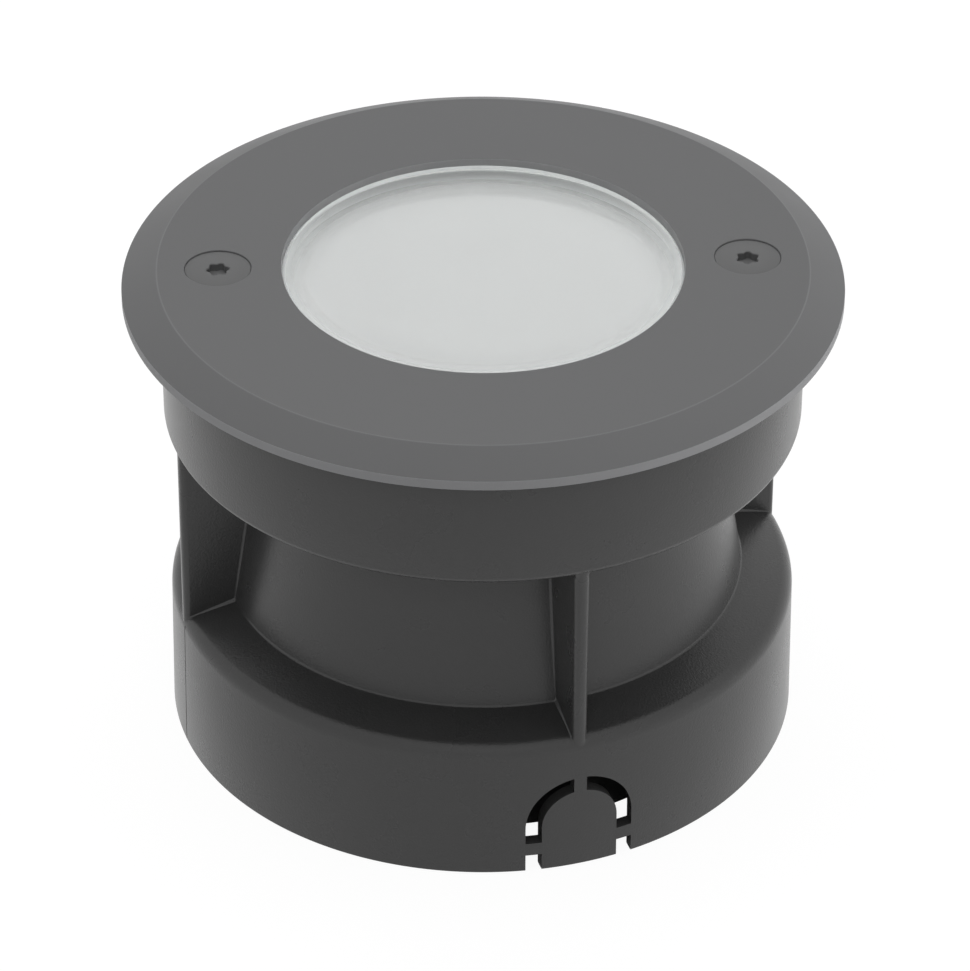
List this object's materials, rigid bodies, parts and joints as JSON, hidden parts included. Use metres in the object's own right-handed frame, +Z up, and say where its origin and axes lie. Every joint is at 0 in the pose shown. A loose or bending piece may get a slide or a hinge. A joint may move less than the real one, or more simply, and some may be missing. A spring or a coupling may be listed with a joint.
{
  "type": "recessed ground spotlight",
  "caption": "Round recessed ground spotlight: cast trim ring with countersunk screws, glass lens over an opal plate, and a waisted installation sleeve with webs and knock-outs.",
  "frame": {"origin": "centre of the sleeve's lower edge, on the ground side", "axes": "+Z up along the light's axis; +X through the two cover screws; -Y faces the viewer of the picture, a little to the left"},
  "size_m": [0.11, 0.11, 0.079],
  "materials": {
    "sleeve_plastic": "fine-grained moulded plastic, dark grey",
    "trim_metal": "cast, satin anthracite coating",
    "screw_steel": "stainless steel, darkened to match the ring",
    "clear_glass": "clear toughened glass, polished edge",
    "opal_plastic": "opal white, satin",
    "white_plastic": "white moulded plastic",
    "black_rubber": "black silicone rubber",
    "insert_brass": "turned brass",
    "cast_aluminium": "die-cast, blasted",
    "plate_aluminium": "rolled plate",
    "small_steel": "zinc-plated steel",
    "board_white": "white solder mask on a metal core",
    "chip_phosphor": "yellow phosphor",
    "driver_plastic": "potted case, pale grey",
    "terminal_plastic": "grey moulded plastic",
    "lead_sleeving": "silicone-sleeved copper",
    "tag_brass": "tinned brass",
    "gland_plastic": "black moulded plastic"
  },
  "bodies": {
    "sleeve": {"mounting_sleeve": "sleeve_plastic", "thread_inserts": "insert_brass"},
    "luminaire": {"lamp_housing": "cast_aluminium", "glass_lens": "clear_glass", "lens_gasket_top": "black_rubber", "lens_gasket_seat": "black_rubber", "opal_diffuser": "opal_plastic", "reflector": "white_plastic", "heat_plate": "plate_aluminium", "plate_screws": "small_steel", "led_board": "board_white", "led_chips": "chip_phosphor", "board_screws": "small_steel", "driver_case": "driver_plastic", "driver_screws": "small_steel", "terminal_block": "terminal_plastic", "terminal_screws": "small_steel", "supply_leads": "lead_sleeving", "led_leads": "lead_sleeving", "earth_lug": "tag_brass", "earth_screw": "small_steel", "gland_body": "gland_plastic", "gland_washer": "black_rubber", "gland_seal": "black_rubber"},
    "trim": {"trim_ring": "trim_metal"},
    "seal_left": {"screw_seal_left": "black_rubber"},
    "screw_left": {"cover_screw_left": "screw_steel"},
    "seal_right": {"screw_seal_right": "black_rubber"},
    "screw_right": {"cover_screw_right": "screw_steel"},
    "slip_ring": {"gland_slip_ring": "white_plastic"},
    "nut": {"gland_nut": "gland_plastic"}
  },
  "joints": [
    {"name": "luminaire_lift", "type": "slide", "parent": "sleeve", "child": "luminaire", "axis": [0, 0, 1], "range_m": [0, 0.075]},
    {"name": "trim_ring_lift", "type": "slide", "parent": "luminaire", "child": "trim", "axis": [0, 0, 1], "range_m": [0, 0.025]},
    {"name": "screw_left_rise", "type": "slide", "parent": "trim", "child": "seal_left", "axis": [0, 0, 1], "range_m": [0, 0.0096]},
    {"name": "screw_left_turn", "type": "hinge", "parent": "seal_left", "child": "screw_left", "pos_m": [-0.0403, 0, 0.079], "axis": [0, 0, 1], "range_deg": [0, 4320]},
    {"name": "screw_right_rise", "type": "slide", "parent": "trim", "child": "seal_right", "axis": [0, 0, 1], "range_m": [0, 0.0096]},
    {"name": "screw_right_turn", "type": "hinge", "parent": "seal_right", "child": "screw_right", "pos_m": [0.0403, 0, 0.079], "axis": [0, 0, 1], "range_deg": [0, 4320]},
    {"name": "gland_nut_back_off", "type": "slide", "parent": "luminaire", "child": "slip_ring", "axis": [0, 0, -1], "range_m": [0, 0.0045]},
    {"name": "gland_nut_turn", "type": "hinge", "parent": "slip_ring", "child": "nut", "pos_m": [0, 0, 0.0103], "axis": [0, 0, -1], "range_deg": [0, 1080]}
  ],
  "couplings": [
    {"joint": "screw_left_turn", "follows": "screw_left_rise", "rad_per_m": 7854},
    {"joint": "screw_right_turn", "follows": "screw_right_rise", "rad_per_m": 7854},
    {"joint": "gland_nut_turn", "follows": "gland_nut_back_off", "rad_per_m": 4188.8}
  ]
}
